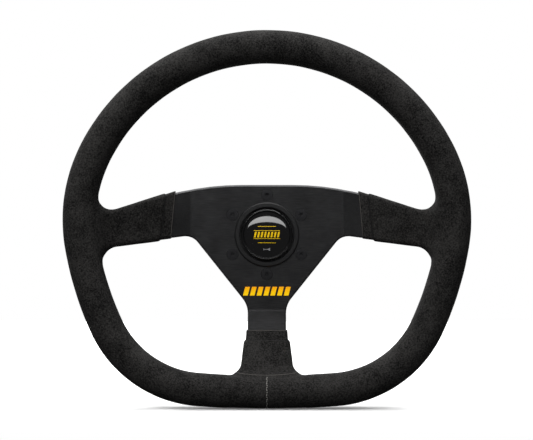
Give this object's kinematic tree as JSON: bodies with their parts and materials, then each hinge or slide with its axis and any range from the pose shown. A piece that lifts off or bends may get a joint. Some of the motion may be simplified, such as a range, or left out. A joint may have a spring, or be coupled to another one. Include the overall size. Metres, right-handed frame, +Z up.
{
  "type": "steering wheel",
  "caption": "Flat-bottomed, dished steering wheel on bent spokes, with a suede grip, a sprung horn button and a ball-lock quick release hub on its back.",
  "frame": {"origin": "on the steering axis, at the mouth of the quick release hub's bore", "axes": "+Y along the steering axis, away from the driver and towards the column; +X to the driver's right; +Z up with the wheel straight ahead"},
  "size_m": [0.3498, 0.1206, 0.3241],
  "materials": {
    "suede": "napped, matt",
    "foam": "moulded",
    "tube_alloy": "drawn",
    "plate_alloy": "brushed, black anodised",
    "hub_alloy": "turned, black anodised",
    "collar_alloy": "turned, clear anodised",
    "black_steel": "black oxide",
    "spring_steel": "drawn",
    "bearing_steel": "polished",
    "brass": "stamped",
    "satin_plastic": "moulded, satin",
    "gloss_plastic": "polished",
    "clear_resin": "domed, clear",
    "yellow_print": "printed",
    "rubber": "moulded"
  },
  "bodies": {
    "wheel": {"rim_core": "tube_alloy", "rim_foam": "foam", "rim_cover": "suede", "spoke_plate": "plate_alloy", "spoke_wrap_left": "suede", "spoke_wrap_right": "suede", "spoke_wrap_bottom": "suede", "spoke_hem_left": "suede", "spoke_hem_right": "suede", "spoke_hem_bottom": "suede", "plate_emblem": "yellow_print", "hub_screws": "black_steel", "horn_trim_ring": "satin_plastic", "horn_housing": "satin_plastic", "horn_fixed_contact": "brass", "horn_terminals": "brass", "horn_spring": "spring_steel", "release_hub": "hub_alloy", "spline_insert": "spring_steel", "collar_spring": "spring_steel", "collar_snap_ring": "black_steel"},
    "horn_button": {"horn_cap": "satin_plastic", "horn_bezel": "gloss_plastic", "horn_badge": "gloss_plastic", "horn_dome": "clear_resin", "horn_moving_contact": "brass"},
    "collar": {"release_collar": "collar_alloy", "collar_grip": "rubber"},
    "lock_ball_1": {"ball_1": "bearing_steel"},
    "lock_ball_2": {"ball_2": "bearing_steel"},
    "lock_ball_3": {"ball_3": "bearing_steel"},
    "lock_ball_4": {"ball_4": "bearing_steel"},
    "lock_ball_5": {"ball_5": "bearing_steel"},
    "lock_ball_6": {"ball_6": "bearing_steel"}
  },
  "joints": [
    {"name": "horn_press", "type": "slide", "parent": "wheel", "child": "horn_button", "axis": [0, 1, 0], "range_m": [0, 0.002], "stiffness_N_per_m": 1500, "springref_m": -0.002, "deforming": ["horn_spring"]},
    {"name": "collar_slide", "type": "slide", "parent": "wheel", "child": "collar", "axis": [0, -1, 0], "range_m": [0, 0.008], "stiffness_N_per_m": 2000, "springref_m": -0.006, "deforming": ["collar_spring"]},
    {"name": "ball_1_lift", "type": "slide", "parent": "wheel", "child": "lock_ball_1", "axis": [0.866, 0, 0.5], "range_m": [0, 0.0022]},
    {"name": "ball_2_lift", "type": "slide", "parent": "wheel", "child": "lock_ball_2", "axis": [0, 0, 1], "range_m": [0, 0.0022]},
    {"name": "ball_3_lift", "type": "slide", "parent": "wheel", "child": "lock_ball_3", "axis": [-0.866, 0, 0.5], "range_m": [0, 0.0022]},
    {"name": "ball_4_lift", "type": "slide", "parent": "wheel", "child": "lock_ball_4", "axis": [-0.866, 0, -0.5], "range_m": [0, 0.0022]},
    {"name": "ball_5_lift", "type": "slide", "parent": "wheel", "child": "lock_ball_5", "axis": [0, 0, -1], "range_m": [0, 0.0022]},
    {"name": "ball_6_lift", "type": "slide", "parent": "wheel", "child": "lock_ball_6", "axis": [0.866, 0, -0.5], "range_m": [0, 0.0022]}
  ],
  "couplings": [
    {"joint": "ball_1_lift", "follows": "collar_slide", "ratio": 0.2625},
    {"joint": "ball_2_lift", "follows": "collar_slide", "ratio": 0.2625},
    {"joint": "ball_3_lift", "follows": "collar_slide", "ratio": 0.2625},
    {"joint": "ball_4_lift", "follows": "collar_slide", "ratio": 0.2625},
    {"joint": "ball_5_lift", "follows": "collar_slide", "ratio": 0.2625},
    {"joint": "ball_6_lift", "follows": "collar_slide", "ratio": 0.2625}
  ]
}
